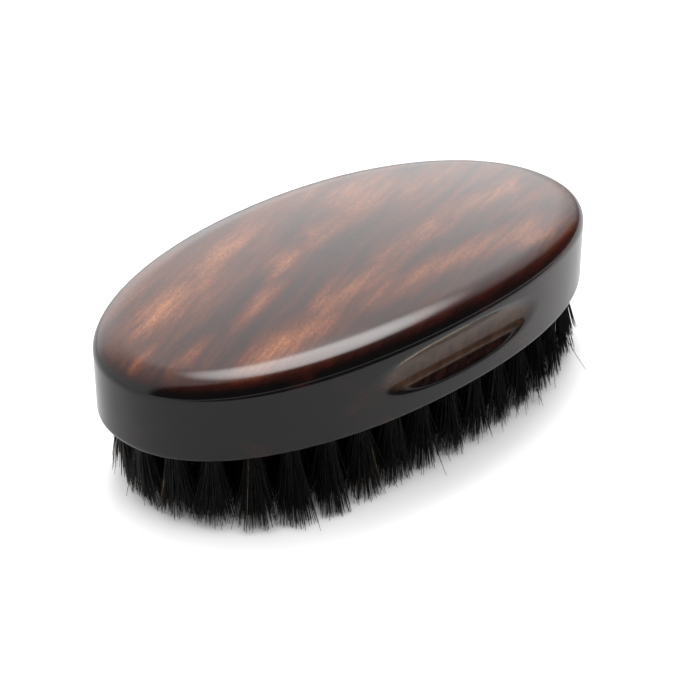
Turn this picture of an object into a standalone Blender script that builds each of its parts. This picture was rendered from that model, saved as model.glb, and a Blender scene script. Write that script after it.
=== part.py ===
"""Beard brush: an oval palm block of stained wood, drilled underside, with tufts of boar bristle.

Every blind hole holds one tuft, folded double over a flat steel anchor. The outermost oval and the
centre row are separate tufts. The tufts of the three ovals between them are joined where their tips
meet, four runs to an oval. The centre row also has its anchors.

Units are metres. +X runs along the block, +Y across it and +Z up. The origin is under the middle of
the block, on the plane where the bristle tips stand.
"""

import math

import bmesh
import bpy
import numpy as np
from mathutils import Matrix

MM = 0.001

# Block
BLOCK_LENGTH = 124 * MM
BLOCK_WIDTH = 65 * MM
OVAL_EXPONENT = 2.16  # 2 is an ellipse, and more is squarer
OVAL_SIDES = 72
UNDERSIDE_Z = 17 * MM  # the length of bristle that shows
RIM_HEIGHT = 17.2 * MM  # of the side wall over the underside, before the crown lowers it
CROWN_LENGTHWISE = 4.1 * MM  # how far the top falls from the middle to each end
CROWN_ACROSS = 1.7 * MM  # and to each long side
LOWER_EDGE_RADIUS = 1.2 * MM
TOP_EDGE_RADIUS = 3.0 * MM
SHOULDER_RADIUS = 14 * MM  # the softer curve between the top edge and the crown
SHOULDER_START = 16  # degrees of tilt where the top edge passes into the shoulder

# Finger grooves, straight coves in both long sides
GROOVE_RADIUS = 8.1 * MM
GROOVE_DEPTH = 1.75 * MM
GROOVE_HEIGHT = 9.6 * MM  # of its middle over the underside
GROOVE_CUTTER_LENGTH = 70 * MM
GROOVE_SIDES = 48

# Holes
HOLE_RADIUS = 1.7 * MM
HOLE_DEPTH = 8 * MM
DRILL_POINT = 1.0 * MM  # depth of the cone that the drill's tip leaves
HOLE_SIDES = 8

# Tufts
FIRST_INSET = 5 * MM  # of the outermost oval of tufts from the block's outline
OVAL_SPACING = 7 * MM
OVAL_TUFTS = (36, 28, 24, 20)
RUNS_PER_OVAL = 4
CENTRE_TUFTS = 5
CENTRE_PITCH = 9 * MM
CLEARANCE = 0.3 * MM
ROOT_RADIUS = HOLE_RADIUS - CLEARANCE
FOLD_RADIUS = 0.9 * MM
FOLD_LENGTH = 0.8 * MM
TIP_DEPTH = 3.0 * MM  # half size of a tuft's tip across its oval
OUTER_TIP_WIDTH = 3.5 * MM  # half size along the oval
CENTRE_TIP_WIDTH = 4.1 * MM
CENTRE_TIP_DEPTH = 2.6 * MM
OUTWARD_LEAN = 1.0 * MM
WAIST_SHARE = 0.3  # of the bristle length, where a tuft starts to spread
TUFT_SIDES = 8
JOINED_TUFT_SIDES = 6  # two flat sides face along the oval, where neighbours join
TIP_OVERLAP = 0.45 * MM  # by which a run's tips draw together, so that they join

# Anchors, and the eye between the two legs of a folded tuft
ANCHOR_THICKNESS = 0.4 * MM
ANCHOR_HEIGHT = 1.5 * MM
ANCHOR_LENGTH = 2 * (HOLE_RADIUS - CLEARANCE)
ANCHOR_BEVEL = 0.08 * MM
ANCHOR_FROM_MOUTH = 5.75 * MM  # to the anchor's middle


def empty_scene():
    for obj in list(bpy.data.objects):
        bpy.data.objects.remove(obj, do_unlink=True)


def new_collection(name):
    collection = bpy.data.collections.new(name)
    bpy.context.scene.collection.children.link(collection)
    return collection


def new_material(name, colour, roughness, metallic=0.0):
    material = bpy.data.materials.new(name)
    material.use_nodes = True
    shader = material.node_tree.nodes["Principled BSDF"]
    shader.inputs["Base Color"].default_value = (*colour, 1.0)
    shader.inputs["Roughness"].default_value = roughness
    shader.inputs["Metallic"].default_value = metallic
    return material


def add_object(name, bm, collection, material=None):
    mesh = bpy.data.meshes.new(name)
    bm.to_mesh(mesh)
    bm.free()
    obj = bpy.data.objects.new(name, mesh)
    collection.objects.link(obj)
    if material:
        mesh.materials.append(material)
    return obj


def shade_round(obj, sharp_degrees=31):
    obj.data.shade_smooth()
    obj.data.set_sharp_from_angle(angle=math.radians(sharp_degrees))


def add_cutter(name, bm):
    cutter = add_object(name, bm, cutters)
    cutter.hide_render = True
    cutter.display_type = "WIRE"
    return cutter


def add_boolean(obj, cutter, operation):
    modifier = obj.modifiers.new(cutter.name, "BOOLEAN")
    modifier.operation = operation
    modifier.solver = "EXACT"
    modifier.object = cutter


def oval_point(inset, angle):
    """A point of the block's outline, moved in by inset."""
    across, along = math.sin(angle), math.cos(angle)
    power = 2 / OVAL_EXPONENT
    x = (BLOCK_LENGTH / 2 - inset) * math.copysign(abs(along) ** power, along)
    y = (BLOCK_WIDTH / 2 - inset) * math.copysign(abs(across) ** power, across)
    return x, y


def crown(x, y):
    """How far the crowned top lies under its highest point."""
    return -CROWN_LENGTHWISE * (2 * x / BLOCK_LENGTH) ** 2 - CROWN_ACROSS * (2 * y / BLOCK_WIDTH) ** 2


def loft(bm, rings, top_point=None):
    """Joins rings of points, each with the same count, into one closed skin, lowest ring first."""
    rows = [[bm.verts.new(point) for point in ring] for ring in rings]
    sides = len(rows[0])
    for lower, upper in zip(rows, rows[1:]):
        for i in range(sides):
            j = (i + 1) % sides
            bm.faces.new((lower[i], lower[j], upper[j], upper[i]))
    bm.faces.new(list(reversed(rows[0])))
    if top_point is None:
        bm.faces.new(rows[-1])
        return
    apex = bm.verts.new(top_point)
    for i in range(sides):
        bm.faces.new((rows[-1][i], rows[-1][(i + 1) % sides], apex))


def block_profile():
    """(inset, height over the underside, crowned) from the underside's edge up to the crown."""
    profile = []
    for tilt in (0, 30, 60, 90):
        angle = math.radians(tilt)
        inset = LOWER_EDGE_RADIUS * (1 - math.sin(angle))
        profile.append((inset, LOWER_EDGE_RADIUS * (1 - math.cos(angle)), False))
    for tilt in (90, 70, 50, 32, SHOULDER_START):
        angle = math.radians(tilt)
        inset = TOP_EDGE_RADIUS * (1 - math.sin(angle))
        profile.append((inset, RIM_HEIGHT + TOP_EDGE_RADIUS * math.cos(angle), True))
    start = math.radians(SHOULDER_START)
    edge_inset, edge_height, _ = profile[-1]
    for tilt in (10, 5, 0):
        angle = math.radians(tilt)
        inset = edge_inset + SHOULDER_RADIUS * (math.sin(start) - math.sin(angle))
        height = edge_height + SHOULDER_RADIUS * (math.cos(angle) - math.cos(start))
        profile.append((inset, height, True))
    return profile


def block_ring(inset, height, crowned, share=1.0):
    ring = []
    for i in range(OVAL_SIDES):
        x, y = oval_point(inset, 2 * math.pi * i / OVAL_SIDES)
        x, y = share * x, share * y
        ring.append((x, y, height + (crown(x, y) if crowned else 0)))
    return ring


def drill_holes(block, places):
    """One cutter holds every drill, and reaches below the underside so that the mouths stay open."""
    bm = bmesh.new()
    for x, y, _ in places:
        rings = []
        for z in (-1 * MM, HOLE_DEPTH):
            ring = []
            for i in range(HOLE_SIDES):
                angle = 2 * math.pi * (i + 0.5) / HOLE_SIDES
                ring.append((x + HOLE_RADIUS * math.cos(angle), y + HOLE_RADIUS * math.sin(angle), z))
            rings.append(ring)
        loft(bm, rings, top_point=(x, y, HOLE_DEPTH + DRILL_POINT))
    drills = add_cutter("hole_drills", bm)
    drills.location.z = UNDERSIDE_Z
    add_boolean(block, drills, "DIFFERENCE")


def cut_grooves(block):
    for side, name in ((-1, "front_groove"), (1, "back_groove")):
        bm = bmesh.new()
        bmesh.ops.create_cone(
            bm,
            cap_ends=True,
            segments=GROOVE_SIDES,
            radius1=GROOVE_RADIUS,
            radius2=GROOVE_RADIUS,
            depth=GROOVE_CUTTER_LENGTH,
        )
        cutter = add_cutter(name, bm)
        cutter.rotation_euler = (0, math.radians(90), 0)
        reach = BLOCK_WIDTH / 2 - GROOVE_DEPTH + GROOVE_RADIUS
        cutter.location = (0, side * reach, UNDERSIDE_Z + GROOVE_HEIGHT)
        add_boolean(block, cutter, "DIFFERENCE")


def make_block(places):
    profile = block_profile()
    rings = [block_ring(*station) for station in profile]
    inset, height, _ = profile[-1]
    rings += [block_ring(inset, height, True, share) for share in (0.75, 0.45)]
    bm = bmesh.new()
    loft(bm, rings, top_point=(0, 0, height))
    block = add_object("handle_block", bm, brush, wood)
    block.location.z = UNDERSIDE_Z
    cut_grooves(block)
    drill_holes(block, places)
    shade_round(block)
    return block


def oval_places(inset, count, half_step):
    """(x, y, outward angle) of evenly spaced tufts on the oval at this inset, the first at +X."""
    fine = np.linspace(0, 2 * math.pi, 1441)
    line = np.array([oval_point(inset, angle) for angle in fine])
    length = np.concatenate([[0], np.cumsum(np.linalg.norm(np.diff(line, axis=0), axis=1))])
    step = length[-1] / count
    places = []
    for i in range(count):
        at = step * (i + 0.5 * half_step)
        x, y = (float(np.interp(at, length, line[:, axis])) for axis in (0, 1))
        before, after = (
            [float(np.interp((at + shift) % length[-1], length, line[:, axis])) for axis in (0, 1)]
            for shift in (-0.5 * MM, 0.5 * MM)
        )
        outward = math.atan2(before[0] - after[0], after[1] - before[1])
        places.append((x, y, outward))
    return places, step


def tuft_stations(tip_depth, tip_width, lean=0.0, gather=0.0):
    """(z from the mouth, half depth, half width, lean, gather) up the tuft, tips first."""
    waist = -WAIST_SHARE * UNDERSIDE_Z
    fold_top = HOLE_DEPTH - CLEARANCE
    return [
        (-UNDERSIDE_Z, tip_depth, tip_width, lean, gather),
        (waist, ROOT_RADIUS * 1.3, ROOT_RADIUS * 1.4, lean * 0.15, gather * 0.15),
        (-CLEARANCE, ROOT_RADIUS, ROOT_RADIUS, 0, 0),
        (fold_top - FOLD_LENGTH, ROOT_RADIUS, ROOT_RADIUS, 0, 0),
        (fold_top, FOLD_RADIUS, FOLD_RADIUS, 0, 0),
    ]


def tuft_body(sides, stations):
    """One tuft about its hole's mouth. Local +X faces out of the oval and +Y runs along it."""
    half_turn = 0.5 if sides == TUFT_SIDES else 0.0
    rings = []
    for z, half_depth, half_width, lean, gather in stations:
        ring = []
        for i in range(sides):
            angle = 2 * math.pi * (i + half_turn) / sides
            x = lean + half_depth * math.cos(angle)
            y = gather + half_width * math.sin(angle)
            ring.append((x, y, z))
        rings.append(ring)
    bm = bmesh.new()
    loft(bm, rings)
    return bm


def place_at(obj, place):
    x, y, outward = place
    obj.location = (x, y, UNDERSIDE_Z)
    obj.rotation_euler = (0, 0, outward)


def make_single_tuft(name, place, tip_depth, tip_width, lean=0.0):
    """A tuft that keeps the eye where its anchor passes between the two legs."""
    tuft = add_object(name, tuft_body(TUFT_SIDES, tuft_stations(tip_depth, tip_width, lean)), brush, bristle)
    place_at(tuft, place)
    bm = bmesh.new()
    bmesh.ops.create_cube(bm, size=1.0)
    eye_size = (ANCHOR_THICKNESS + 2 * CLEARANCE, 4 * HOLE_RADIUS, ANCHOR_HEIGHT + 2 * CLEARANCE)
    bmesh.ops.scale(bm, vec=eye_size, verts=bm.verts)
    bmesh.ops.translate(bm, vec=(0, 0, ANCHOR_FROM_MOUTH), verts=bm.verts)
    eye = add_cutter(f"{name}_eye", bm)
    place_at(eye, place)
    add_boolean(tuft, eye, "DIFFERENCE")
    shade_round(tuft, 50)
    return tuft


def make_anchor(name, place):
    bm = bmesh.new()
    bmesh.ops.create_cube(bm, size=1.0)
    bmesh.ops.scale(bm, vec=(ANCHOR_THICKNESS, ANCHOR_LENGTH, ANCHOR_HEIGHT), verts=bm.verts)
    bmesh.ops.translate(bm, vec=(0, 0, ANCHOR_FROM_MOUTH), verts=bm.verts)
    anchor = add_object(name, bm, brush, steel)
    place_at(anchor, place)
    bevel = anchor.modifiers.new("edges", "BEVEL")
    bevel.width = ANCHOR_BEVEL
    bevel.segments = 1
    return anchor


def make_run(name, places, pitch):
    """Neighbouring tufts of an inner oval, gathered a little at the tips and joined there."""
    to_corner = math.sin(2 * math.pi / JOINED_TUFT_SIDES)
    corner_width = 0.5 * pitch / to_corner
    run = None
    for i, place in enumerate(places):
        from_middle = i - (len(places) - 1) / 2
        stations = tuft_stations(TIP_DEPTH, corner_width, gather=-TIP_OVERLAP * from_middle)
        bm = tuft_body(JOINED_TUFT_SIDES, stations)
        x, y, outward = place
        bm.transform(Matrix.Translation((x, y, UNDERSIDE_Z)) @ Matrix.Rotation(outward, 4, "Z"))
        if run is None:
            run = add_object(name, bm, brush, bristle)
        else:
            add_boolean(run, add_cutter(f"{name}_tuft_{i + 1}", bm), "UNION")
    shade_round(run, 50)
    return run


def make_inner_oval(number, places, pitch):
    """Four runs, one about each end and one about each long side."""
    count = len(places) // RUNS_PER_OVAL
    for run in range(RUNS_PER_OVAL):
        first = run * count - count // 2
        members = [places[(first + i) % len(places)] for i in range(count)]
        make_run(f"tuft_run_oval_{number}_{run + 1}", members, pitch)


empty_scene()
brush = new_collection("beard_brush")
cutters = new_collection("cutters")
cutters.hide_render = True
wood = new_material("stained_wood", (0.055, 0.02, 0.011), 0.22)
bristle = new_material("boar_bristle", (0.011, 0.011, 0.012), 0.45)
steel = new_material("anchor_steel", (0.62, 0.61, 0.6), 0.35, metallic=1.0)

ovals = []
for number, tufts in enumerate(OVAL_TUFTS):
    per_run = tufts // RUNS_PER_OVAL
    ovals.append(oval_places(FIRST_INSET + number * OVAL_SPACING, tufts, half_step=per_run % 2 == 0))
centre_places = [
    ((i - (CENTRE_TUFTS - 1) / 2) * CENTRE_PITCH, 0.0, math.radians(90)) for i in range(CENTRE_TUFTS)
]

make_block([place for places, _ in ovals for place in places] + centre_places)
for i, place in enumerate(ovals[0][0]):
    make_single_tuft(f"outer_tuft_{i + 1:02d}", place, TIP_DEPTH, OUTER_TIP_WIDTH, OUTWARD_LEAN)
for number, (places, pitch) in enumerate(ovals[1:], start=2):
    make_inner_oval(number, places, pitch)
for i, place in enumerate(centre_places):
    make_single_tuft(f"centre_tuft_{i + 1}", place, CENTRE_TIP_DEPTH, CENTRE_TIP_WIDTH)
    make_anchor(f"anchor_{i + 1}", place)
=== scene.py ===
"""Looks of the beard brush: the lacquered palm block, its tufts of separate bristles, and their anchors.

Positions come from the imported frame, in metres, with +X along the block and +Z up from the bristle tips.
"""

import math

import bmesh
import bpy
import numpy as np
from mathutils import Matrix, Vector


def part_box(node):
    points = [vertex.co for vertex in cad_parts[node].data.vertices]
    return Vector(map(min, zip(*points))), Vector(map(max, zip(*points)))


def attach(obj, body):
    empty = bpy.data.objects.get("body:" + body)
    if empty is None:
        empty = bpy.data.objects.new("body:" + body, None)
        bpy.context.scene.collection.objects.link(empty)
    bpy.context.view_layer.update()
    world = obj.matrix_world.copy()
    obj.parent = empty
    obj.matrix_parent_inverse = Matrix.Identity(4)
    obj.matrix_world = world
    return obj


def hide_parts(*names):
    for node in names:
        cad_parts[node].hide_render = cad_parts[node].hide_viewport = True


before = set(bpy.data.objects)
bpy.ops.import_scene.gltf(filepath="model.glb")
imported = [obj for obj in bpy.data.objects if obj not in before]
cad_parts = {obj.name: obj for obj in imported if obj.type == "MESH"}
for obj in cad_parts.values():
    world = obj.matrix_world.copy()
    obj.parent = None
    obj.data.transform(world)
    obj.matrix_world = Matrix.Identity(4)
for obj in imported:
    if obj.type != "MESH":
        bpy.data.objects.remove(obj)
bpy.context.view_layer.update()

MM = 0.001

# Block, from the frame's handle_block and the radii of its edges
BLOCK_LOW, BLOCK_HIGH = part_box("handle_block")
HALF_LENGTH = BLOCK_HIGH[0]
HALF_WIDTH = BLOCK_HIGH[1]
UNDERSIDE = BLOCK_LOW[2]
OVAL_EXPONENT = 2.16
LOWER_EDGE_RADIUS = 1.2 * MM
TOP_EDGE_RADIUS = 3.0 * MM
SHOULDER_RADIUS = 14 * MM
SHOULDER_START = math.radians(16)
SHOULDER_RISE = SHOULDER_RADIUS * (1 - math.cos(SHOULDER_START))
CROWN_LENGTHWISE = 4.1 * MM
CROWN_ACROSS = 1.7 * MM
RIM_HEIGHT = BLOCK_HIGH[2] - UNDERSIDE - TOP_EDGE_RADIUS * math.cos(SHOULDER_START) - SHOULDER_RISE

# Finger grooves
GROOVE_RADIUS = 8.1 * MM
GROOVE_DEPTH = 1.75 * MM
GROOVE_HEIGHT = 9.6 * MM
GROOVE_EDGE = 0.5 * MM  # softening where a groove meets the wall
GROOVE_REACH = 27 * MM  # half length of the stretch that is meshed finely for the grooves
FINE_STEP, COARSE_STEP = 0.35 * MM, 0.7 * MM  # along the outline, within that stretch and outside it
GROOVE_FADE = 0.6 * MM  # over which the wall's stain gives way to the groove's
# A thin lighter line in the wood's colour along part of a groove's upper edge: how far inside the groove's
# edge it lies, its width, the x of its middle, its half length and its fade at the ends
EDGE_LINE_INSIDE = 0.12 * MM
EDGE_LINE_WIDTH = 0.22 * MM
EDGE_LINE_MIDDLE = -8 * MM
EDGE_LINE_HALF = 11 * MM
EDGE_LINE_FADE = 4 * MM

# Holes, tufts and anchors
HOLE_RADIUS = 1.7 * MM
HOLE_DEPTH = 8 * MM
DRILL_POINT = 1.0 * MM
DRILL_OUTSIDE = 1 * MM
HOLE_SIDES = 20
FIRST_INSET = 5 * MM
OVAL_SPACING = 7 * MM
OVAL_TUFTS = (36, 28, 24, 20)
RUNS_PER_OVAL = 4
CENTRE_TUFTS = 5
CENTRE_PITCH = 9 * MM
RUN_LEANS = (0.7, 0.3, 0.3)  # lean of the second, third and fourth ovals, as shares of the outer tufts'
ANCHOR_SIZE = (0.4 * MM, 2.8 * MM, 1.5 * MM)
ANCHOR_FROM_MOUTH = 5.75 * MM
ANCHOR_BEVEL = 0.08 * MM

# Bristles
STRANDS = 76  # in each tuft, every one folded double
HAIR_RADIUS = 0.115 * MM
TIP_RADIUS = 0.045 * MM
HAIR_SIDES = 3
BUNDLE_RADIUS = 1.5 * MM
BUNDLE_FREE = 0.32 * MM  # about half the anchor's thickness and a hair's radius
FOLD_GAP = 0.14 * MM  # from the anchor's top to the middle of the lowest bristle folded over it
LEG_SHARES = (1, 0.8, 0.55, 0.3, 0.12, 0)  # where a leg's points lie, from its tip to the hole's mouth
TIP_SPREAD = 3.7 * MM  # how far the outermost hairs move sideways by their tips
TIP_CLEARANCE = 0.15 * MM  # from the floor to the longest bristles
CUT_SHAPE, CUT_SCALE = 1.6, 0.42 * MM  # gamma distribution of how much shorter the others are
CLUMPS = 12  # points that a tuft's bristles gather towards at their tips
CLUMP_SCATTER = (0.42, 0.6)  # outward and along the oval, as shares of the tuft's reach at its tips
CLUMP_PULL = 0.4  # the most of the way to its clump that a tip moves
STRAY_SHARE = 0.03  # of a tuft's bristles, away from the ends, that stand apart from the rest
END_START = 0.62  # where the ends of the oval begin, as a share of the half length
END_LIFT = 3.2 * MM  # about how much shorter the outer tufts' outward bristles are at the very ends

# Lean of the outer tufts
BASE_LEAN = -0.6 * MM
NEAR_LEANS = ((-38 * MM, 15 * MM, 3.6 * MM), (52 * MM, 14 * MM, 1.4 * MM))  # middle x, width, extra lean
LEFT_END_START = 0.75  # as a share of the half length
LEFT_END_LEAN = -3.6 * MM

rng = np.random.default_rng(7)


# ---------------------------------------------------------------- shapes


def oval_points(inset, angles):
    """Points of the block's outline, moved in by inset, as an array of x, y."""
    along, across = np.cos(angles), np.sin(angles)
    power = 2 / OVAL_EXPONENT
    x = (HALF_LENGTH - inset) * np.sign(along) * np.abs(along) ** power
    y = (HALF_WIDTH - inset) * np.sign(across) * np.abs(across) ** power
    return np.stack([x, y], axis=1)


def crown(x, y):
    return -CROWN_LENGTHWISE * (x / HALF_LENGTH) ** 2 - CROWN_ACROSS * (y / HALF_WIDTH) ** 2


def outline_angles(fine_step, coarse_step):
    """Angles round the outline, closer together beside the grooves."""
    angles = np.linspace(0, 2 * math.pi, 7201)
    points = oval_points(0, angles)
    lengths = np.linalg.norm(np.diff(points, axis=0), axis=1)
    middle_x = (points[1:, 0] + points[:-1, 0]) / 2
    steps = lengths / np.where(np.abs(middle_x) < GROOVE_REACH, fine_step, coarse_step)
    total = np.concatenate([[0], np.cumsum(steps)])
    count = 4 * round(total[-1] / 4)
    return np.interp(np.arange(count) * total[-1] / count, total, angles)


def smooth_min(a, b, width):
    share = np.clip(0.5 + 0.5 * (b - a) / width, 0, 1)
    return b + (a - b) * share - width * share * (1 - share)


def groove_limit(height):
    """The largest |y| that a groove leaves at this height over the underside."""
    from_middle = np.minimum(np.abs(height - GROOVE_HEIGHT), GROOVE_RADIUS)
    middle_y = HALF_WIDTH - GROOVE_DEPTH + GROOVE_RADIUS
    return middle_y - np.sqrt(GROOVE_RADIUS**2 - from_middle**2)


def mesh_object(name, points, faces, materials=()):
    mesh = bpy.data.meshes.new(name)
    mesh.from_pydata(points, [], faces)
    mesh.update()
    for material in materials:
        mesh.materials.append(material)
    obj = bpy.data.objects.new(name, mesh)
    bpy.context.scene.collection.objects.link(obj)
    return obj


def level_square(name, half, height, material):
    corners = [(x, y, height) for x, y in ((-half, -half), (half, -half), (half, half), (-half, half))]
    return mesh_object(name, corners, [(0, 1, 2, 3)], [material])


def grid_faces(rows, columns):
    """Quads of a grid of points that closes round each row, lowest row first."""
    row, column = np.meshgrid(np.arange(rows - 1), np.arange(columns), indexing="ij")
    beside = (column + 1) % columns
    low, high = row * columns, (row + 1) * columns
    return np.stack([low + column, low + beside, high + beside, high + column], -1).reshape(-1, 4)


def block_skin(angles):
    """Rings of the block, from the underside's edge to the middle of the crown."""
    rings = []
    for tilt in np.radians(np.linspace(0, 90, 7)):
        xy = oval_points(LOWER_EDGE_RADIUS * (1 - math.sin(tilt)), angles)
        z = np.full(len(angles), LOWER_EDGE_RADIUS * (1 - math.cos(tilt)))
        rings.append(np.column_stack([xy, z]))
    wall = oval_points(0, angles)
    rim = RIM_HEIGHT + crown(wall[:, 0], wall[:, 1])
    for share in np.linspace(0, 1, 49)[1:]:
        z = LOWER_EDGE_RADIUS + share * (rim - LOWER_EDGE_RADIUS)
        rings.append(np.column_stack([wall, z]))
    for tilt in np.linspace(math.pi / 2, SHOULDER_START, 17)[1:]:
        xy = oval_points(TOP_EDGE_RADIUS * (1 - math.sin(tilt)), angles)
        z = RIM_HEIGHT + TOP_EDGE_RADIUS * math.cos(tilt) + crown(xy[:, 0], xy[:, 1])
        rings.append(np.column_stack([xy, z]))
    edge_inset = TOP_EDGE_RADIUS * (1 - math.sin(SHOULDER_START))
    edge_height = RIM_HEIGHT + TOP_EDGE_RADIUS * math.cos(SHOULDER_START)
    for tilt in np.linspace(SHOULDER_START, 0, 11)[1:]:
        inset = edge_inset + SHOULDER_RADIUS * (math.sin(SHOULDER_START) - math.sin(tilt))
        height = edge_height + SHOULDER_RADIUS * (math.cos(tilt) - math.cos(SHOULDER_START))
        xy = oval_points(inset, angles)
        rings.append(np.column_stack([xy, height + crown(xy[:, 0], xy[:, 1])]))
    for share in np.linspace(1, 0.02, 30)[1:]:
        part = xy * share
        rings.append(np.column_stack([part, height + crown(part[:, 0], part[:, 1])]))
    points = np.concatenate(rings)
    limited = smooth_min(np.abs(points[:, 1]), groove_limit(points[:, 2]), GROOVE_EDGE)
    points[:, 1] = np.sign(points[:, 1]) * np.minimum(limited, np.abs(points[:, 1]))
    points[:, 2] += UNDERSIDE
    return points, len(rings)


def oval_places(inset, count, half_step):
    """(x, y, outward angle) of evenly spaced tufts on the oval at this inset.

    The first is at +X, or half a step past it.
    """
    line = oval_points(inset, np.linspace(0, 2 * math.pi, 1441))
    length = np.concatenate([[0], np.cumsum(np.linalg.norm(np.diff(line, axis=0), axis=1))])
    step = length[-1] / count

    def point(at):
        return [float(np.interp(at % length[-1], length, line[:, axis])) for axis in (0, 1)]

    places = []
    for i in range(count):
        at = step * (i + 0.5 * half_step)
        before, after = point(at - 0.5 * MM), point(at + 0.5 * MM)
        outward = math.atan2(before[0] - after[0], after[1] - before[1])
        places.append((*point(at), outward))
    return places


# ---------------------------------------------------------------- block


def drill_cutter(places):
    """One object with a pointed drill in each place, long enough to stand out below the underside."""
    points, faces = [], []
    turn = 2 * math.pi * np.arange(HOLE_SIDES) / HOLE_SIDES
    rim = np.stack([HOLE_RADIUS * np.cos(turn), HOLE_RADIUS * np.sin(turn)], axis=1)
    for x, y, _ in places:
        first = len(points)
        for z in (-DRILL_OUTSIDE, HOLE_DEPTH):
            points += [(x + dx, y + dy, UNDERSIDE + z) for dx, dy in rim]
        points.append((x, y, UNDERSIDE + HOLE_DEPTH + DRILL_POINT))
        faces.append([first + i for i in reversed(range(HOLE_SIDES))])
        for i in range(HOLE_SIDES):
            j = (i + 1) % HOLE_SIDES
            low, high = first, first + HOLE_SIDES
            faces.append((low + i, low + j, high + j, high + i))
            faces.append((high + i, high + j, first + 2 * HOLE_SIDES))
    return mesh_object("drills", points, faces)


def mark_grooves(mesh):
    """Adds three values at each point for the wood's material.

    They are groove, how far into a groove it is, then the value for how near the thin light line along part
    of a groove's upper edge, and lift, which goes from 0 on the wall to 1 on the crown.
    """
    points = np.empty(len(mesh.vertices) * 3)
    mesh.vertices.foreach_get("co", points)
    x, y, z = points.reshape(-1, 3).T
    height = z - UNDERSIDE
    along = np.clip(np.abs(x) / HALF_LENGTH, 0, 1)
    wall = HALF_WIDTH * (1 - along**OVAL_EXPONENT) ** (1 / OVAL_EXPONENT)
    in_wall = (height > LOWER_EDGE_RADIUS) & (height < RIM_HEIGHT + crown(x, wall))
    past_edge = wall - groove_limit(height)
    inside = np.where(in_wall, np.clip(past_edge / GROOVE_FADE, 0, 1), 0)
    line = np.clip(1 - np.abs(past_edge - EDGE_LINE_INSIDE) / EDGE_LINE_WIDTH, 0, 1)
    ends = np.clip((EDGE_LINE_HALF - np.abs(x - EDGE_LINE_MIDDLE)) / EDGE_LINE_FADE, 0, 1)
    edge_line = np.where(in_wall & (height > GROOVE_HEIGHT), line * ends, 0)
    over_rim = height - crown(x, y) - RIM_HEIGHT
    lift = np.clip(over_rim / (BLOCK_HIGH[2] - UNDERSIDE - RIM_HEIGHT), 0, 1)
    for name, values in (("groove", inside), ("edge_line", edge_line), ("lift", lift)):
        mesh.attributes.new(name, "FLOAT", "POINT").data.foreach_set("value", values.astype(np.float32))


def make_block(places, material):
    """The block, with its grooves and with a blind hole at each place."""
    angles = outline_angles(FINE_STEP, COARSE_STEP)
    points, rows = block_skin(angles)
    count = len(angles)
    apex = (0, 0, BLOCK_HIGH[2])
    faces = [tuple(f) for f in grid_faces(rows, count).tolist()]
    top = (rows - 1) * count
    faces += [(top + i, top + (i + 1) % count, rows * count) for i in range(count)]
    faces.append(tuple(reversed(range(count))))
    block = mesh_object("block", [*points.tolist(), apex], faces)
    drills = drill_cutter(places)
    cut = block.modifiers.new("holes", "BOOLEAN")
    cut.operation = "DIFFERENCE"
    cut.solver = "EXACT"
    cut.object = drills
    bpy.context.view_layer.update()
    drilled = bpy.data.meshes.new_from_object(block.evaluated_get(bpy.context.evaluated_depsgraph_get()))
    block.modifiers.clear()
    block.data = drilled
    bpy.data.objects.remove(drills)
    drilled.materials.clear()
    drilled.materials.append(material)
    drilled.shade_smooth()
    drilled.set_sharp_from_angle(angle=math.radians(40))
    mark_grooves(drilled)
    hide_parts("handle_block")
    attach(block, "root")


# ---------------------------------------------------------------- bristles and anchors


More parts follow.
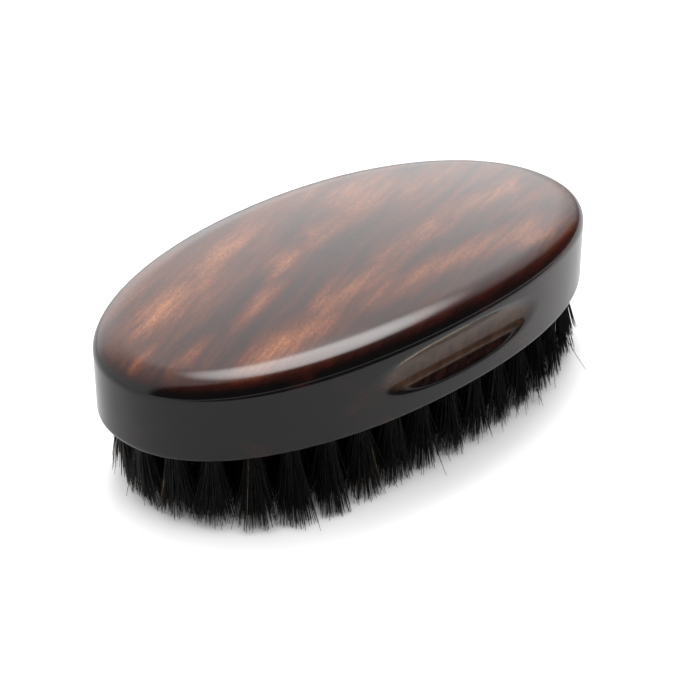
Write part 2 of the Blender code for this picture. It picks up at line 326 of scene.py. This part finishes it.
def strand_paths(lean, end_lift, stray_share):
    """Paths of one tuft's strands in its own frame: X outward, Y along the oval, Z up from the tips.

    Each goes from a tip up one side of the anchor, over it, and down the other side to a second tip.
    """
    along = rng.uniform(-0.88, 0.88, STRANDS) * BUNDLE_RADIUS
    room = np.sqrt(BUNDLE_RADIUS**2 - along**2)
    out = ANCHOR_SIZE[0] / 2 + HAIR_RADIUS + (room - BUNDLE_FREE) * np.sqrt(rng.uniform(0, 1, STRANDS))
    anchor = UNDERSIDE + ANCHOR_FROM_MOUTH
    fold = anchor + ANCHOR_SIZE[2] / 2 + FOLD_GAP + 0.7 * (out - out.min())
    legs = []
    clumps = rng.normal(0, CLUMP_SCATTER, (CLUMPS, 2)) * (TIP_SPREAD + BUNDLE_RADIUS)
    for side in (1, -1):
        pull = rng.uniform(0, CLUMP_PULL, STRANDS)
        # the feet stand at the hole's mouth, and the tips fan out from them
        foot_x = side * out * rng.uniform(0.75, 1.0, STRANDS)
        foot_y = along + rng.normal(0, 0.12 * MM, STRANDS)
        reach = np.hypot(foot_x, foot_y) / BUNDLE_RADIUS
        turn = np.arctan2(foot_y, foot_x) + rng.normal(0, 0.35, STRANDS)
        stray = np.where(rng.uniform(0, 1, STRANDS) < stray_share, rng.uniform(0.5, 1.3, STRANDS), 0)
        spread = TIP_SPREAD * (reach**1.1 * rng.normal(0.92, 0.13, STRANDS) + 0.12 + stray * reach)
        tip_x = foot_x + spread * np.cos(turn)
        tip_y = foot_y + spread * np.sin(turn)
        # tips gather towards clumps, apart from the strays
        near = rng.integers(0, CLUMPS, STRANDS)
        tip_x = tip_x + pull * (clumps[near, 0] - tip_x) * (stray == 0) + lean
        tip_y = tip_y + pull * (clumps[near, 1] - tip_y) * (stray == 0)
        # the cut isn't quite even
        short = rng.gamma(CUT_SHAPE, CUT_SCALE, STRANDS)
        short = short + end_lift * rng.uniform(0.4, 1.2, STRANDS) * (tip_x > 0)
        tip_z = TIP_CLEARANCE + short
        bow = rng.normal(0.12, 0.1, STRANDS)
        leg = []
        for share in LEG_SHARES:
            sideways = share**1.35 + bow * share * (1 - share)
            leg.append(
                (
                    foot_x + (tip_x - foot_x) * sideways,
                    foot_y + (tip_y - foot_y) * sideways,
                    UNDERSIDE + (tip_z - UNDERSIDE) * share,
                )
            )
        leg.append((side * out, along, np.full(STRANDS, anchor - 0.2 * MM)))
        legs.append(leg)
    arch = [(side * 0.62 * out, along, fold - 0.3 * (out - out.min()) - 0.02 * MM) for side in (1, -1)]
    path = [*legs[0], arch[0], (0 * out, along, fold), arch[1], *reversed(legs[1])]
    return np.array(path).transpose(2, 0, 1)


def outward_lean(place):
    """How far a tuft's tips stand out from its hole: most at the near left, least at the left end."""
    x, y, _ = place
    lean = BASE_LEAN
    if y < 0:
        for middle, width, extra in NEAR_LEANS:
            lean += extra * math.exp(-(((x - middle) / width) ** 2))
    end = max(0.0, (-x / HALF_LENGTH - LEFT_END_START) / (1 - LEFT_END_START))
    return lean + LEFT_END_LEAN * end


def tube_mesh(name, paths, across, shades, material):
    """One object of thin tapered tubes, one for each path, with a shade value at every point.

    across holds, for each path, a level direction that the path never runs along.
    """
    count, steps, _ = paths.shape
    run = np.gradient(paths, axis=1)
    run /= np.linalg.norm(run, axis=2, keepdims=True)
    side = across[:, None] - run * (run * across[:, None]).sum(axis=2, keepdims=True)
    side /= np.linalg.norm(side, axis=2, keepdims=True)
    other = np.cross(run, side)
    from_end = np.minimum(np.arange(steps), np.arange(steps)[::-1]) / 2.0
    radius = TIP_RADIUS + (HAIR_RADIUS - TIP_RADIUS) * np.clip(from_end, 0, 1)
    turn = 2 * math.pi * np.arange(HAIR_SIDES) / HAIR_SIDES
    ring = side[:, :, None] * np.cos(turn)[:, None] + other[:, :, None] * np.sin(turn)[:, None]
    points = (paths[:, :, None] + ring * radius[None, :, None, None]).reshape(-1, 3)
    block = steps * HAIR_SIDES
    one = grid_faces(steps, HAIR_SIDES)
    quads = (one[None] + block * np.arange(count)[:, None, None]).reshape(-1, 4)
    cap = np.arange(HAIR_SIDES)
    starts = block * np.arange(count)[:, None]
    ends = np.concatenate([starts + cap[::-1], starts + block - HAIR_SIDES + cap])
    mesh = bpy.data.meshes.new(name)
    loops = np.concatenate([quads.ravel(), ends.ravel()])
    sizes = np.concatenate([np.full(len(quads), 4), np.full(len(ends), HAIR_SIDES)])
    mesh.vertices.add(len(points))
    mesh.vertices.foreach_set("co", points.ravel())
    mesh.loops.add(len(loops))
    mesh.loops.foreach_set("vertex_index", loops)
    mesh.polygons.add(len(sizes))
    mesh.polygons.foreach_set("loop_start", np.concatenate([[0], np.cumsum(sizes)[:-1]]))
    mesh.update(calc_edges=True)
    mesh.shade_smooth()
    shade = np.repeat(shades, HAIR_SIDES, axis=1).ravel().astype(np.float32)
    mesh.attributes.new("shade", "FLOAT", "POINT").data.foreach_set("value", shade)
    mesh.materials.append(material)
    obj = bpy.data.objects.new(name, mesh)
    bpy.context.scene.collection.objects.link(obj)
    return obj


def placed(points, place):
    """Points of a tuft's or an anchor's own frame, moved to its place on the block."""
    x, y, outward = place
    cos, sin = math.cos(outward), math.sin(outward)
    return np.stack(
        [
            x + points[..., 0] * cos - points[..., 1] * sin,
            y + points[..., 0] * sin + points[..., 1] * cos,
            points[..., 2],
        ],
        axis=-1,
    )


def make_tufts(name, places, material, lean_share=1.0, end_lift=0.0):
    """One piece with the bristles of these tufts, standing for the CAD node of the same name."""
    paths, across, shades = [], [], []
    for place in places:
        end = max(0.0, (abs(place[0]) / HALF_LENGTH - END_START) / (1 - END_START))
        strays = STRAY_SHARE * (1 - min(1, 3 * end))
        own = strand_paths(outward_lean(place) * lean_share, end_lift * end, strays)
        steps = own.shape[1]
        tone = np.where(rng.uniform(0, 1, STRANDS) < 0.02, rng.uniform(0.3, 0.9, STRANDS), 0)
        tone += rng.uniform(0, 0.16, STRANDS) + 0.22 * (rng.uniform(0, 1, STRANDS) < 0.1)
        share = np.abs(np.linspace(1, -1, steps)) ** 4
        shades.append(tone[:, None] + (0.12 + 0.3 * end) * share[None] * rng.uniform(0, 1, (STRANDS, 1)))
        paths.append(placed(own, place))
        across.append(np.tile([-math.sin(place[2]), math.cos(place[2]), 0.0], (STRANDS, 1)))
    piece = tube_mesh("bristles_" + name, *(np.concatenate(a) for a in (paths, across, shades)), material)
    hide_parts(name)
    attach(piece, "root")


def make_anchors(name, places, material, nodes=()):
    """One piece with the steel anchors of these tufts, standing for these nodes."""
    points, faces = [], []
    bm = bmesh.new()
    bmesh.ops.create_cube(bm, size=1)
    for vert in bm.verts:
        vert.co = [c * s for c, s in zip(vert.co, ANCHOR_SIZE)]
    bmesh.ops.bevel(bm, geom=bm.edges[:], offset=ANCHOR_BEVEL, segments=2, affect="EDGES")
    own = np.array([v.co for v in bm.verts]) + [0, 0, UNDERSIDE + ANCHOR_FROM_MOUTH]
    own_faces = [[v.index for v in face.verts] for face in bm.faces]
    bm.free()
    for place in places:
        first = len(points)
        points += placed(own, place).tolist()
        faces += [[first + i for i in face] for face in own_faces]
    piece = mesh_object(name, points, faces, [material])
    if nodes:
        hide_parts(*nodes)
    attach(piece, "root")


# ---------------------------------------------------------------- materials


class Nodes:
    """A short way to write a material's or a world's nodes."""

    def __init__(self, tree):
        self.tree = tree
        tree.nodes.clear()

    def add(self, kind, inputs=(), **settings):
        node = self.tree.nodes.new(kind)
        for key, value in settings.items():
            setattr(node, key, value)
        for socket, value in dict(inputs).items():
            self.put(node.inputs[socket], value)
        return node

    def put(self, socket, value):
        if isinstance(value, bpy.types.NodeSocket):
            self.tree.links.new(value, socket)
        else:
            socket.default_value = value

    def math(self, operation, *values):
        return self.add("ShaderNodeMath", enumerate(values), operation=operation).outputs[0]

    def vector(self, operation, *values, output=0):
        return self.add("ShaderNodeVectorMath", enumerate(values), operation=operation).outputs[output]

    def ramp(self, value, low, high, to_low=0.0, to_high=1.0, smooth=True):
        node = self.add(
            "ShaderNodeMapRange",
            {"Value": value, "From Min": low, "From Max": high, "To Min": to_low, "To Max": to_high},
            interpolation_type="SMOOTHSTEP" if smooth else "LINEAR",
        )
        return node.outputs["Result"]

    def noise(self, vector, scale, detail=2.0, roughness=0.5, distortion=0.0):
        inputs = {"Vector": vector, "Scale": scale, "Detail": detail}
        inputs |= {"Roughness": roughness, "Distortion": distortion}
        return self.add("ShaderNodeTexNoise", inputs).outputs["Fac"]

    def stretched(self, vector, angle, scale):
        """The vector turned about Z by -angle and scaled on each axis."""
        inputs = {"Vector": vector, "Rotation": (0, 0, -angle)}
        turned = self.add("ShaderNodeMapping", inputs, vector_type="POINT").outputs[0]
        return self.vector("MULTIPLY", turned, scale)

    def blend(self, share, first, second):
        """A mix of two colours. Inputs 0, 6 and 7 and output 2 are the ones that a colour mix uses."""
        return self.add("ShaderNodeMix", {0: share, 6: first, 7: second}, data_type="RGBA").outputs[2]

    def colours(self, value, stops):
        node = self.add("ShaderNodeValToRGB", {"Fac": value})
        elements = node.color_ramp.elements
        while len(elements) < len(stops):
            elements.new(1.0)
        for element, (position, colour) in zip(elements, stops):
            element.position = position
            element.color = (*colour, 1.0)
        return node.outputs["Color"]

    def attribute(self, name):
        return self.add("ShaderNodeAttribute", attribute_name=name).outputs["Fac"]

    def bump(self, height, distance, strength):
        inputs = {"Height": height, "Distance": distance, "Strength": strength}
        return self.add("ShaderNodeBump", inputs).outputs["Normal"]


def new_material(name, **settings):
    """A material, its Nodes, and its Principled shader. In a setting's name, _ stands for a space."""
    material = bpy.data.materials.new(name)
    material.use_nodes = True
    nodes = Nodes(material.node_tree)
    shader = nodes.add("ShaderNodeBsdfPrincipled", {k.replace("_", " "): v for k, v in settings.items()})
    nodes.add("ShaderNodeOutputMaterial", {"Surface": shader.outputs[0]})
    return material, nodes, shader


GRAIN_TURN = math.radians(20)
STREAK_WANDER = 7 * MM
GROOVE_SHADE_SPLIT = (6.5 * MM, 6.95 * MM)  # over the underside, where a groove's colour turns from darker to lighter; this split is painted light, set where the groove's face turns from mirroring the dark room to mirroring the lit floor
EDGE_RED_FROM, EDGE_RED_TO = 4 * MM, 44 * MM  # where the red of the edge comes in along the block

# Places where the stain is rubbed thin: the middle's x and y in millimetres, the turn from +X in degrees,
# the half length and half width in millimetres, then how bright it is
RUBBED_PATCHES = (
    (-42, 9.5, 22, 17, 6.8, 0.72),
    (-20, 17, 17, 27, 6.0, 0.50),
    (-30, 13, 20, 34, 11, 0.38),
    (-14, 5, 20, 10, 4.8, 0.64),
    (1, 9.5, 20, 19, 5.2, 0.46),
    (16, 16, 24, 18, 10, 0.47),
    (-29, -3.5, 22, 14, 3.4, 0.38),
    (-34, -17.5, 8, 20, 6.0, 0.68),
    (-14, -13, 10, 26, 4.6, 0.55),
    (14, -6, 13, 31, 4.8, 0.44),
    (10, -18, 0, 38, 4.8, 0.46),
    (-56, 0, 20, 8, 2.6, 0.44),
    (-50, -7, 18, 9, 2.8, 0.38),
    (42, -2, 16, 21, 6.5, 0.31),
    (-38, 21, 20, 22, 4.6, 0.34),
    (5, 25, 8, 28, 5.0, 0.34),
    (31, 10, 20, 22, 6.5, 0.29),
    (34, -22, 4, 20, 4.4, 0.24),
)


def wood_material():
    material, nodes, shader = new_material(
        "stained_wood",
        Specular_IOR_Level=0.05,
        Coat_Roughness=0.075,
        Coat_IOR=1.4,
    )
    place = nodes.add("ShaderNodeTexCoord").outputs["Object"]
    parts = nodes.add("ShaderNodeSeparateXYZ", {"Vector": place}).outputs
    along, height = parts["X"], parts["Z"]
    streaks = nodes.stretched(place, GRAIN_TURN, (0.16, 1.0, 0.5))

    # a slow shift that keeps the rubbed patches from having ruled edges
    wander = {"Vector": streaks, "Scale": 230, "Detail": 4.0, "Roughness": 0.62}
    wander = nodes.add("ShaderNodeTexNoise", wander).outputs["Color"]
    wander = nodes.vector("SUBTRACT", wander, (0.5, 0.5, 0.5))
    shift = nodes.vector("MULTIPLY", wander, (STREAK_WANDER,) * 3)
    moved = nodes.vector("ADD", place, shift)

    rubbed = None
    for x, y, turn, length, width, bright in RUBBED_PATCHES:
        spot = nodes.add(
            "ShaderNodeMapping",
            {
                "Vector": moved,
                "Location": (x * MM, y * MM, 0),
                "Rotation": (0, 0, math.radians(turn)),
                "Scale": (length * MM, width * MM, 1),
            },
            vector_type="TEXTURE",
        ).outputs[0]
        flat = nodes.vector("MULTIPLY", spot, (1, 1, 0))
        mask = nodes.ramp(nodes.vector("LENGTH", flat, output=1), 1.25, 0.0, 0.0, bright)
        rubbed = mask if rubbed is None else nodes.math("MAXIMUM", rubbed, mask)

    fine = nodes.noise(streaks, 900, 6.0, 0.6)
    coarse = nodes.noise(streaks, 260, 4.0, 0.55, 0.6)
    speckle = nodes.noise(nodes.stretched(place, GRAIN_TURN, (0.45, 1.0, 1.0)), 2600, 3.0, 0.7)
    texture = nodes.math("ADD", nodes.math("MULTIPLY", coarse, 0.9), nodes.math("MULTIPLY", fine, 0.55))
    shown = nodes.math("MULTIPLY", rubbed, nodes.ramp(texture, 0.45, 1.0, 0.70, 1.12))
    shown = nodes.math("ADD", shown, nodes.ramp(texture, 0.5, 1.05, 0.12, 0.34))
    speckled = nodes.ramp(speckle, 0.3, 0.7, 0.80, 1.12)
    shown = nodes.math("MULTIPLY", shown, speckled)

    # the stain lies thicker on the edge and the sides
    over_top = nodes.ramp(nodes.attribute("lift"), 0.45, 0.97)
    shown = nodes.math("MULTIPLY", shown, over_top)
    edge_red = nodes.ramp(along, EDGE_RED_FROM, EDGE_RED_TO, 0.0, 0.16)
    edge_red = nodes.math("MULTIPLY", edge_red, nodes.ramp(texture, 0.5, 0.9))
    shown = nodes.math("ADD", shown, edge_red)
    side_noise = nodes.noise(nodes.vector("MULTIPLY", place, (0.5, 1.0, 1.0)), 90, 3.0, 0.6)
    side_red = nodes.ramp(side_noise, 0.52, 0.75)
    side_red = nodes.math("MULTIPLY", side_red, nodes.math("SUBTRACT", 1.0, over_top))
    shown = nodes.math("ADD", shown, nodes.math("MULTIPLY", side_red, 0.34))
    colour = nodes.colours(
        shown,
        (
            (0.0, (0.0028, 0.0022, 0.0022)),
            (0.2, (0.022, 0.0042, 0.0026)),
            (0.45, (0.070, 0.0145, 0.0042)),
            (0.70, (0.148, 0.044, 0.0145)),
            (1.0, (0.28, 0.102, 0.036)),
        ),
    )

    # a groove is darker below and lighter above, with slightly thinner lacquer in its upper part; the split
    # is painted light: painted shade below, where the face tilts up towards the dark room, and a painted
    # reflection of the lit floor above, where it tilts down
    groove = nodes.attribute("groove")
    above = nodes.ramp(height, *(UNDERSIDE + split for split in GROOVE_SHADE_SPLIT))
    cut_grain = nodes.ramp(fine, 0.35, 0.65)
    # cut wood colours with grain; the contrast between the darker lower one and the lighter upper one is
    # painted shade and painted reflected floor light
    shaded_low_cut = nodes.blend(cut_grain, (0.0075, 0.0025, 0.0020, 1), (0.019, 0.0058, 0.0042, 1))
    lit_high_cut = nodes.blend(cut_grain, (0.036, 0.0165, 0.0085, 1), (0.062, 0.030, 0.0165, 1))
    cut = nodes.blend(above, shaded_low_cut, lit_high_cut)
    thin = nodes.math("MULTIPLY", nodes.math("MULTIPLY", groove, above), 0.12)
    nodes.put(shader.inputs["Coat Weight"], nodes.math("SUBTRACT", 1.0, thin))
    colour = nodes.blend(groove, colour, cut)
    # a thin pale yellowish line along part of a groove's upper edge
    edge_line = nodes.math("MULTIPLY", nodes.attribute("edge_line"), nodes.ramp(speckle, 0.3, 0.6, 0.45, 1.0))
    colour = nodes.blend(edge_line, colour, (0.33, 0.235, 0.135, 1))
    nodes.put(shader.inputs["Base Color"], colour)

    pores = nodes.noise(nodes.stretched(place, GRAIN_TURN, (0.08, 1.0, 0.3)), 3000, 3.0, 0.6)
    nodes.put(shader.inputs["Roughness"], nodes.ramp(fine, 0.3, 0.7, 0.30, 0.48, smooth=False))
    nodes.put(shader.inputs["Normal"], nodes.bump(pores, 0.006 * MM, 0.6))
    lacquer = nodes.noise(place, 420, 2.0, 0.5)
    ripple = nodes.math("ADD", lacquer, nodes.math("MULTIPLY", pores, 0.16))
    nodes.put(shader.inputs["Coat Normal"], nodes.bump(ripple, 0.010 * MM, 0.6))
    return material


def bristle_material():
    material, nodes, shader = new_material("boar_bristle", Specular_IOR_Level=0.22)
    place = nodes.add("ShaderNodeTexCoord").outputs["Object"]
    shade = nodes.attribute("shade")
    scales = nodes.noise(nodes.vector("MULTIPLY", place, (1.0, 1.0, 0.35)), 2200, 3.0, 0.6)
    tone = nodes.math("MULTIPLY", shade, nodes.ramp(scales, 0.3, 0.7, 0.7, 1.3))
    colour = nodes.colours(
        tone,
        (
            (0.0, (0.0022, 0.0024, 0.0030)),
            (0.25, (0.0055, 0.0052, 0.0052)),
            (0.6, (0.036, 0.026, 0.020)),
            (1.0, (0.16, 0.105, 0.06)),
        ),
    )
    nodes.put(shader.inputs["Base Color"], colour)
    nodes.put(shader.inputs["Roughness"], nodes.ramp(scales, 0.25, 0.75, 0.34, 0.5, smooth=False))
    nodes.put(shader.inputs["Normal"], nodes.bump(scales, 0.01 * MM, 0.5))
    return material


def steel_material():
    material, nodes, shader = new_material("anchor_steel", Metallic=1.0)
    place = nodes.add("ShaderNodeTexCoord").outputs["Object"]
    scratches = nodes.noise(nodes.vector("MULTIPLY", place, (1.0, 1.0, 0.2)), 4000, 4.0, 0.6)
    colour = nodes.blend(scratches, (0.48, 0.47, 0.46, 1), (0.68, 0.67, 0.66, 1))
    nodes.put(shader.inputs["Base Color"], colour)
    nodes.put(shader.inputs["Roughness"], nodes.ramp(scratches, 0.3, 0.7, 0.26, 0.42, smooth=False))
    nodes.put(shader.inputs["Normal"], nodes.bump(scratches, 0.006 * MM, 0.5))
    return material


def floor_material():
    material, nodes, shader = new_material("pale_floor", Specular_IOR_Level=0.1)
    place = nodes.add("ShaderNodeTexCoord").outputs["Object"]
    paper = nodes.noise(place, 60, 3.0, 0.5)
    colour = nodes.blend(paper, (0.87, 0.87, 0.87, 1), (0.90, 0.90, 0.90, 1))
    nodes.put(shader.inputs["Base Color"], colour)
    nodes.put(shader.inputs["Roughness"], nodes.ramp(paper, 0.3, 0.7, 0.75, 0.9, smooth=False))
    nodes.put(shader.inputs["Normal"], nodes.bump(nodes.noise(place, 900, 2.0, 0.5), 0.02 * MM, 0.3))
    return material


# ---------------------------------------------------------------- camera, light and floor

CAMERA_AZIMUTH = math.radians(-44.46)  # 0 is a view along +Y
CAMERA_ELEVATION = math.radians(31.0)
CAMERA_DISTANCE = 396.5 * MM
CAMERA_TARGET = Vector((-17.585 * MM, -17.414 * MM, UNDERSIDE + 10 * MM))
CAMERA_LENS = 102.86
CAMERA_SENSOR = 36

# Directions of the world's lights are unit vectors, here given by some of their components
KEY_MIDDLE = (0.40, 0.30)  # the x and y of the direction to the middle of the key softbox
KEY_HALF = (0.25, 0.205, 0.26)  # its half size in x, then in y below and above its middle
KEY_SLANT = -0.12  # how its middle falls in y as x grows
KEY_LIGHT = 8.9
SCREEN_DIRECTION = (0.60, 0.80, 0.0)  # towards the lit screen behind the brush
SCREEN_LIGHT = 1.35
CEILING_LIGHT = 1.12
ROOM_LIGHT = 0.04
OVERHEAD_POWER = 20.5
OVERHEAD_PLACE = Vector((-0.2, -0.2, 1.2))
OVERHEAD_SIZE = 1.4

# The dark card is at its darkest near the brush and past FLAG_FULL in y, and even past FLAG_FAR
FLAG_START, FLAG_FULL = -82 * MM, -92 * MM
FLAG_COVER = 0.45  # how much it hides elsewhere
FLAG_NEAR, FLAG_FAR = 160 * MM, 450 * MM
FLAG_HEIGHT = 0.4 * MM
FLAG_HALF = 2.4
FLOOR_HALF = 2.5


def make_camera():
    level = math.cos(CAMERA_ELEVATION)
    x, y = math.sin(CAMERA_AZIMUTH) * level, -math.cos(CAMERA_AZIMUTH) * level
    back = Vector((x, y, math.sin(CAMERA_ELEVATION)))
    data = bpy.data.cameras.new("camera")
    data.sensor_width = CAMERA_SENSOR
    data.lens = CAMERA_LENS
    data.clip_start = 10 * MM
    camera = bpy.data.objects.new("camera", data)
    camera.location = CAMERA_TARGET + back * CAMERA_DISTANCE
    camera.rotation_euler = back.to_track_quat("Z", "Y").to_euler()
    bpy.context.scene.collection.objects.link(camera)
    bpy.context.scene.camera = camera


def make_world():
    """A dim room with a lit screen behind the brush, a lit ceiling and a softbox, white to the camera."""
    world = bpy.data.worlds.new("studio")
    bpy.context.scene.world = world
    world.use_nodes = True
    nodes = Nodes(world.node_tree)
    direction = nodes.add("ShaderNodeTexCoord").outputs["Generated"]
    parts = nodes.add("ShaderNodeSeparateXYZ", {"Vector": direction}).outputs
    facing = nodes.vector("DOT_PRODUCT", direction, SCREEN_DIRECTION, output=1)
    low = nodes.ramp(parts["Z"], 0.0, 0.3, 0.35, 1.0)
    screen = nodes.math("MULTIPLY", nodes.ramp(facing, 0.60, 0.90, ROOM_LIGHT, SCREEN_LIGHT), low)

    # the ceiling is lit over the far side, and stops short of +X
    ceiling = nodes.ramp(parts["Y"], 0.04, 0.26, 0.0, CEILING_LIGHT)
    ceiling = nodes.math("MULTIPLY", ceiling, nodes.ramp(parts["X"], 0.92, 0.74))

    past_middle = nodes.math("SUBTRACT", parts["X"], KEY_MIDDLE[0])
    across = nodes.math("DIVIDE", past_middle, KEY_HALF[0])
    middle_y = nodes.math("MULTIPLY_ADD", past_middle, KEY_SLANT, KEY_MIDDLE[1])
    above = nodes.math("SUBTRACT", parts["Y"], middle_y)
    below_share = nodes.math("DIVIDE", above, -KEY_HALF[1])
    above_share = nodes.math("DIVIDE", above, KEY_HALF[2])
    up = nodes.math("MAXIMUM", below_share, above_share)
    from_key = nodes.math("ADD", nodes.math("MULTIPLY", across, across), nodes.math("MULTIPLY", up, up))
    key = nodes.ramp(from_key, 1.3, 0.2, 0.0, KEY_LIGHT)
    key = nodes.math("MULTIPLY", key, nodes.ramp(parts["Z"], 0.1, 0.4))

    light = nodes.math("ADD", nodes.math("ADD", screen, ceiling), key)
    seen = nodes.add("ShaderNodeLightPath").outputs["Is Camera Ray"]
    strength = nodes.math("ADD", nodes.math("MULTIPLY", light, nodes.math("SUBTRACT", 1.0, seen)), seen)
    background = nodes.add("ShaderNodeBackground", {"Color": (1, 1, 1, 1), "Strength": strength})
    nodes.add("ShaderNodeOutputWorld", {"Surface": background.outputs[0]})


def make_overhead():
    """A large soft light from above that only lights rough surfaces."""
    data = bpy.data.lights.new("overhead", "AREA")
    data.shape = "DISK"
    data.size = OVERHEAD_SIZE
    data.energy = OVERHEAD_POWER
    light = bpy.data.objects.new("overhead", data)
    light.location = OVERHEAD_PLACE
    light.rotation_euler = OVERHEAD_PLACE.to_track_quat("Z", "Y").to_euler()
    light.visible_camera = False
    light.visible_glossy = False
    bpy.context.scene.collection.objects.link(light)


def make_flag():
    """A dark card lying low round the brush, as a photographer would use one. Only reflections see it."""
    material = bpy.data.materials.new("dark_card")
    material.use_nodes = True
    nodes = Nodes(material.node_tree)
    place = nodes.add("ShaderNodeTexCoord").outputs["Object"]
    y = nodes.add("ShaderNodeSeparateXYZ", {"Vector": place}).outputs["Y"]
    distance = nodes.vector("LENGTH", place, output=1)
    near = nodes.ramp(distance, FLAG_FAR, FLAG_NEAR, 0.0, 1.0 - FLAG_COVER)
    darker = nodes.math("MULTIPLY", nodes.ramp(y, FLAG_START, FLAG_FULL), near)
    cover = nodes.math("ADD", darker, FLAG_COVER)
    clear = nodes.add("ShaderNodeBsdfTransparent")
    dark = nodes.add("ShaderNodeBsdfDiffuse", {"Color": (0.02, 0.02, 0.02, 1)})
    both = nodes.add("ShaderNodeMixShader", {0: cover, 1: clear.outputs[0], 2: dark.outputs[0]})
    nodes.add("ShaderNodeOutputMaterial", {"Surface": both.outputs[0]})
    flag = level_square("flag", FLAG_HALF, FLAG_HEIGHT, material)
    flag.visible_camera = False
    flag.visible_diffuse = False
    flag.visible_transmission = False
    flag.visible_shadow = False


def make_floor():
    level_square("floor", FLOOR_HALF, 0, floor_material())


# ---------------------------------------------------------------- the scene


def main():
    ovals = [
        oval_places(FIRST_INSET + n * OVAL_SPACING, count, count // RUNS_PER_OVAL % 2 == 0)
        for n, count in enumerate(OVAL_TUFTS)
    ]
    centre = [((i - CENTRE_TUFTS // 2) * CENTRE_PITCH, 0.0, math.pi / 2) for i in range(CENTRE_TUFTS)]
    make_camera()
    make_world()
    make_overhead()
    make_floor()
    make_flag()
    make_block([place for oval in [*ovals, centre] for place in oval], wood_material())
    hair = bristle_material()
    for i, place in enumerate(ovals[0], 1):
        make_tufts(f"outer_tuft_{i:02d}", [place], hair, end_lift=END_LIFT)
    for n, (oval, lean_share) in enumerate(zip(ovals[1:], RUN_LEANS), 2):
        count = len(oval) // RUNS_PER_OVAL
        for run in range(RUNS_PER_OVAL):
            first = run * count - count // 2
            own = [oval[(first + i) % len(oval)] for i in range(count)]
            make_tufts(f"tuft_run_oval_{n}_{run + 1}", own, hair, lean_share)
    for i, place in enumerate(centre, 1):
        make_tufts(f"centre_tuft_{i}", [place], hair, lean_share=0)
    steel = steel_material()
    for n, oval in enumerate(ovals, 1):
        make_anchors(f"anchors_oval_{n}", oval, steel)
    make_anchors("anchors_centre", centre, steel, [f"anchor_{i}" for i in range(1, CENTRE_TUFTS + 1)])
    bpy.context.scene.view_settings.view_transform = "Standard"


main()
